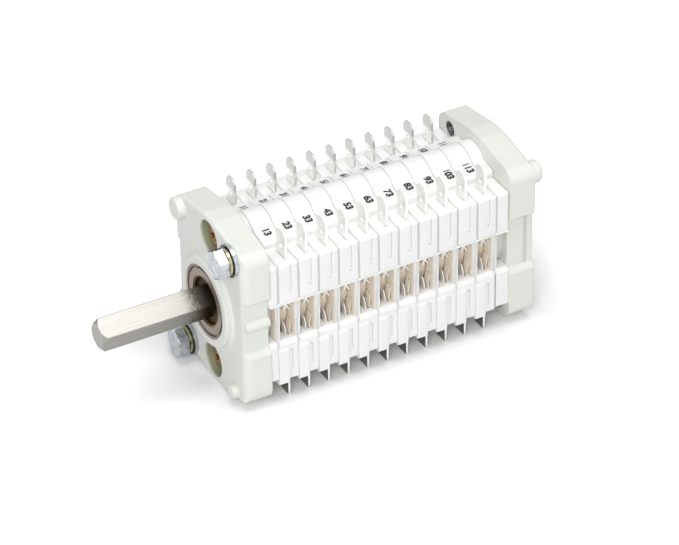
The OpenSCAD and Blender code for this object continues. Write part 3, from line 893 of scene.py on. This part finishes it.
# Each washer is painted darker where it lies against its neighbours, further from its middle in
# X than half its thickness, over 0.3 mm: painted shade between the parts.
shade_fade = 0.3
for finish, washer_x, half_thick, washer_shade_colour in (
    (flat_zinc, -0.6, 0.7, "#3C3E3A"),
    (passivate, -2.4, 0.4, "#24221A"),
):
    tree = finish.node_tree
    place = put(tree, "ShaderNodeTexCoord", {})
    axes = put(tree, "ShaderNodeSeparateXYZ", {"Vector": place.outputs["Object"]})
    off = put(
        tree,
        "ShaderNodeMath",
        {0: axes.outputs["X"], 1: washer_x / 1000},
        operation="SUBTRACT",
    )
    away = put(tree, "ShaderNodeMath", {0: off.outputs[0]}, operation="ABSOLUTE")
    painted_washer_shade = put(
        tree,
        "ShaderNodeMapRange",
        {
            "Value": away.outputs[0],
            "From Min": half_thick / 1000,
            "From Max": (half_thick + shade_fade) / 1000,
        },
    )
    tint(finish, washer_shade_colour, painted_washer_shade.outputs[0])
dress(flat_zinc, "flat_washers")
dress(passivate, "split_washers")

# Turned brass that has darkened in the air is a reddish brown, glossy only on its edges. Its
# turning marks, really about 0.1 mm wide, are drawn 0.5 mm wide.
screw_brass = metal(
    "brass_screw",
    "#A9805A",
    "#6E4A33",
    rough=0.3,
    grain_mm=0.5,
    depth_mm=0.01,
    edge_mm=0.2,
)
dress(screw_brass, "tie_screws", "tie_nuts")

# --- Tie screw heads ----------------------------------------------------------------------
# The brass tie screws have turned pan heads with a pressed cross recess. They lie in their
# recesses, a little below the front plate's face, and each covers its screw's plain end.


def turned(name, points, faces, finish, to_front):
    """A new object from points in mm, with its doubles merged and its faces turned outwards."""
    mesh = bpy.data.meshes.new(name)
    mesh.from_pydata([(x / 1000, y / 1000, z / 1000) for x, y, z in points], [], faces)
    shape = bmesh.new()
    shape.from_mesh(mesh)
    bmesh.ops.remove_doubles(shape, verts=shape.verts, dist=1e-6)
    bmesh.ops.recalc_face_normals(shape, faces=shape.faces)
    if to_front and sum(face.normal.x for face in shape.faces) > 0:
        bmesh.ops.reverse_faces(shape, faces=shape.faces)
    shape.to_mesh(mesh)
    shape.free()
    mesh.materials.append(finish)
    made = bpy.data.objects.new(name, mesh)
    bpy.context.scene.collection.objects.link(made)
    return made


def skin(rings, spokes):
    """Faces between each ring of points and the next, in turn."""
    return [
        (i * spokes + j, i * spokes + k, (i + 1) * spokes + k, (i + 1) * spokes + j)
        for i in range(rings)
        for j, k in zip(range(spokes), [*range(1, spokes), 0])
    ]


# In mm: the head's radius and foremost X, how far it falls back as a crown and at its rim, and
# the cross recess's depth, the half width and slope of its arms, and how far out they reach.
head_r, head_x, head_rings, head_spokes = 4.5, 1.75, 22, 96
crown, rim_from, rim_drop = 0.55, 0.85, 0.7
cross_turn, cross_depth = math.radians(20), 1.1
arm_half, arm_slope, arm_reach, arm_end = 0.75, 0.25, 2.7, 0.6
for name, sign in (("tie_head_upper", 1), ("tie_head_lower", -1)):
    points = []
    for i in range(head_rings + 1):
        r = head_r * i / head_rings
        for j in range(head_spokes):
            a = 2 * math.pi * j / head_spokes
            y, z = r * math.cos(a), r * math.sin(a)
            u = y * math.cos(cross_turn) + z * math.sin(cross_turn)
            v = z * math.cos(cross_turn) - y * math.sin(cross_turn)
            in_arm = max(0.0, min(1.0, (arm_half - min(abs(u), abs(v))) / arm_slope))
            in_reach = max(0.0, min(1.0, (arm_reach - r) / arm_end))
            past_rim = max(0.0, r / head_r - rim_from) / (1 - rim_from)
            dome = head_x + crown * (r / head_r) ** 2 + rim_drop * past_rim
            points.append((dome + cross_depth * in_arm * in_reach, y, z + sign * tie_z))
    head = turned(name, points, skin(head_rings, head_spokes), screw_brass, True)
    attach(head, "housing")

# --- Thread bushes ------------------------------------------------------------------------
# Threaded steel bushes, zinc plated, line the free bolt holes of the rear plate. The M6 thread
# shows as fine rings in the hole at the upper left.

# Dull zinc in a deep hole is a plain mid grey. Its grain, really about 0.1 mm wide, is drawn
# 0.5 mm wide.
bush_steel = metal(
    "zinc_plated_bush_steel",
    "#7E8286",
    "#55595C",
    rough=0.3,
    grain_mm=0.5,
    depth_mm=0.01,
    edge_mm=0.1,
)
# In mm: the hole's place, the bush's start, length and radius, and its thread of eight steps
# to the turn.
bolt_y, bolt_z = 17.2, 27.2
bush_x, bush_length, bush_r, bush_spokes = 107.3, 10.2, 2.97, 48
lead, crest_r, thread_depth, steps_per_turn = 1.0, 2.5, 0.4, 8
steps = int(bush_length / lead * steps_per_turn)
for name, sign in (("thread_bush_upper", 1), ("thread_bush_lower", -1)):
    points = []
    spokes = [2 * math.pi * j / bush_spokes for j in range(bush_spokes)]
    for i in range(steps + 1):
        x = bush_x + bush_length * i / steps
        for j, a in enumerate(spokes):
            turn_part = (x / lead + j / bush_spokes) % 1.0
            r = crest_r + thread_depth * abs(2 * turn_part - 1)
            points.append((x, bolt_y * sign + r * math.cos(a), bolt_z * sign + r * math.sin(a)))
    outer = len(points)
    for x in (bush_x, bush_x + bush_length):
        for a in spokes:
            y, z = bush_r * math.cos(a), bush_r * math.sin(a)
            points.append((x, bolt_y * sign + y, bolt_z * sign + z))
    faces = skin(steps, bush_spokes)
    last = steps * bush_spokes
    for j in range(bush_spokes):
        k = (j + 1) % bush_spokes
        near, far = (outer + j, outer + k), (outer + bush_spokes + j, outer + bush_spokes + k)
        faces.append((near[0], far[0], far[1], near[1]))
        faces.append((j, near[0], near[1], k))
        faces.append((last + j, last + k, far[1], far[0]))
    bush = turned(name, points, faces, bush_steel, False)
    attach(bush, "housing")

# --- Contact numbers ----------------------------------------------------------------------
# Each deck's contacts are numbered in black ink on the two marking ledges: 13, 23 and so on
# at the right, 11, 21 and so on at the left. All read across the switch.

numbers = nodes_tree(
    "contact_numbers",
    {
        "First": "Int",
        "Step": "Int",
        "Count": "Int",
        "Pitch": "Float",
        "Digit height": "Float",
        "Boldness": "Float",
        "Ink": "Material",
    },
)
given = put(numbers, "NodeGroupInput", {})
loop_in = numbers.nodes.new("GeometryNodeRepeatInput")
loop_out = numbers.nodes.new("GeometryNodeRepeatOutput")
loop_in.pair_with_output(loop_out)
numbers.links.new(given.outputs["Count"], loop_in.inputs["Iterations"])

# The number of this turn of the loop, as flat bold figures with an outline thickened by a nib.
so_far = put(
    numbers,
    "FunctionNodeIntegerMath",
    {0: loop_in.outputs["Iteration"], 1: given.outputs["Step"]},
    operation="MULTIPLY",
)
value = put(
    numbers,
    "FunctionNodeIntegerMath",
    {0: so_far.outputs[0], 1: given.outputs["First"]},
    operation="ADD",
)
words = put(
    numbers, "FunctionNodeValueToString", {"Value": value.outputs[0]}, data_type="INT"
)
glyphs = put(
    numbers,
    "GeometryNodeStringToCurves",
    {
        "String": words.outputs[0],
        "Size": given.outputs["Digit height"],
        "Character Spacing": 0.95,
    },
    align_x="CENTER",
    align_y="MIDDLE",
)
outlines = put(
    numbers,
    "GeometryNodeRealizeInstances",
    {"Geometry": glyphs.outputs["Curve Instances"]},
)
filled = put(numbers, "GeometryNodeFillCurve", {"Curve": outlines.outputs[0]})
nib = put(
    numbers,
    "GeometryNodeCurvePrimitiveCircle",
    {"Resolution": 6, "Radius": given.outputs["Boldness"]},
    mode="RADIUS",
)
rim = put(
    numbers,
    "GeometryNodeCurveToMesh",
    {"Curve": outlines.outputs[0], "Profile Curve": nib.outputs[0]},
)
flat_rim = put(
    numbers,
    "GeometryNodeTransform",
    {"Geometry": rim.outputs[0], "Scale": (1, 1, 0.1)},
)
figure = numbers.nodes.new("GeometryNodeJoinGeometry")
numbers.links.new(filled.outputs[0], figure.inputs[0])
numbers.links.new(flat_rim.outputs[0], figure.inputs[0])

# It is turned to read across the switch, moved to its deck and joined to those before it.
along = put(
    numbers,
    "ShaderNodeMath",
    {0: loop_in.outputs["Iteration"], 1: given.outputs["Pitch"]},
    operation="MULTIPLY",
)
shift = put(numbers, "ShaderNodeCombineXYZ", {"X": along.outputs[0]})
placed = put(
    numbers,
    "GeometryNodeTransform",
    {
        "Geometry": figure.outputs[0],
        "Translation": shift.outputs[0],
        "Rotation": (0, 0, -math.pi / 2),
    },
)
joined = numbers.nodes.new("GeometryNodeJoinGeometry")
numbers.links.new(loop_in.outputs["Geometry"], joined.inputs[0])
numbers.links.new(placed.outputs[0], joined.inputs[0])
numbers.links.new(joined.outputs[0], loop_out.inputs["Geometry"])
solid = put(
    numbers,
    "GeometryNodeRealizeInstances",
    {"Geometry": loop_out.outputs["Geometry"]},
)
inked = put(
    numbers,
    "GeometryNodeSetMaterial",
    {"Geometry": solid.outputs[0], "Material": given.outputs["Ink"]},
)
put(numbers, "NodeGroupOutput", {"Geometry": inked.outputs[0]})

# Pad-printed ink is a soft black with a slight sheen. Its uneven film, really about 0.1 mm in
# grain, is drawn 0.5 mm wide.
ink = moulded(
    "pad_printed_black_ink",
    "#232323",
    "#181818",
    rough=0.45,
    grain_mm=0.5,
    depth_mm=0.004,
    edge_mm=0.05,
)

# The numbers stand a little wider apart than the decks, as on the real switch.
first_number_x, ledge_y, ledge_z, number_pitch = 18.2, 8.65, 27.65, 8.12
digit_height, boldness, number_step = 3.7, 0.2, 10
ledge_fall, ledge_width = 1.3, 5.9
ledge_tilt = math.atan2(ledge_fall, ledge_width)
for name, first, side in (("numbers_right", 13, -1), ("numbers_left", 11, 1)):
    holder = bpy.data.objects.new(name, bpy.data.meshes.new(name))
    bpy.context.scene.collection.objects.link(holder)
    wanted = {
        "First": first,
        "Step": number_step,
        "Count": deck_count,
        "Pitch": number_pitch / 1000,
        "Digit height": digit_height / 1000,
        "Boldness": boldness / 1000,
        "Ink": ink,
    }
    grow(holder, numbers, wanted)
    ledge = Matrix.Translation((first_number_x / 1000, side * ledge_y / 1000, ledge_z / 1000))
    holder.data.transform(ledge @ Matrix.Rotation(-side * ledge_tilt, 4, "X"))
    holder.data.materials.clear()
    holder.data.materials.append(ink)
    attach(holder, "housing")
